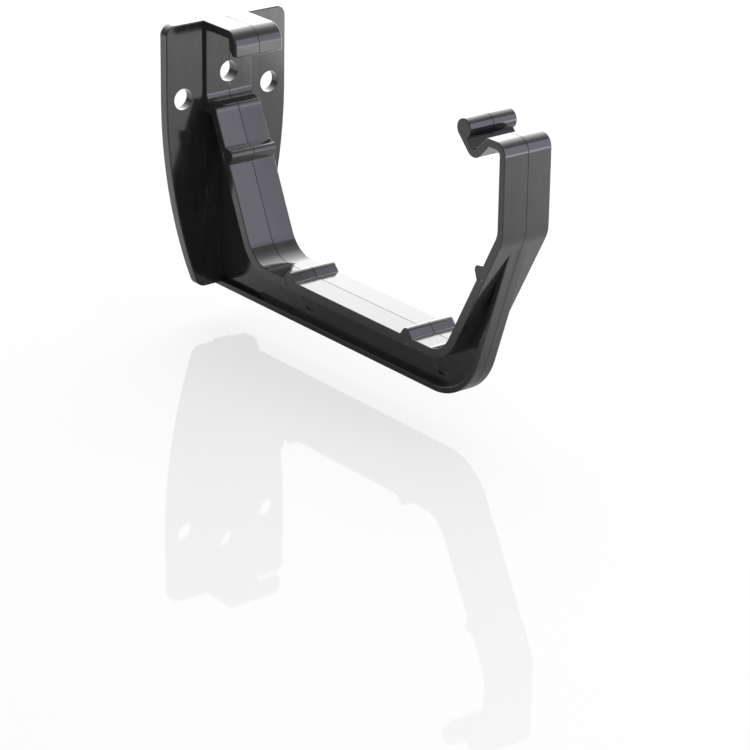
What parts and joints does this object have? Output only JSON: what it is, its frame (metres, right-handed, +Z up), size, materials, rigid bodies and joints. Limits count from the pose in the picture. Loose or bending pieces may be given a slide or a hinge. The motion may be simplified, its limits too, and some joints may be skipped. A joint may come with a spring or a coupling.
{
  "type": "gutter bracket",
  "caption": "Fascia bracket that carries a square rainwater gutter: a ribbed black plastic arm with a back plate with screw holes, a top hook and a front lip that clip over the gutter's edges.",
  "frame": {"origin": "axis of the centre screw hole, where it meets the back face that lies on the fascia board", "axes": "+Z up; +Y into the fascia board, so the bracket stands out towards -Y; +X along the gutter, to the right as seen from the front"},
  "size_m": [0.0368, 0.1202, 0.0727],
  "materials": {
    "pvc": "black PVC-U, gloss as moulded"
  },
  "bodies": {
    "root": {"bracket": "pvc"}
  },
  "joints": []
}
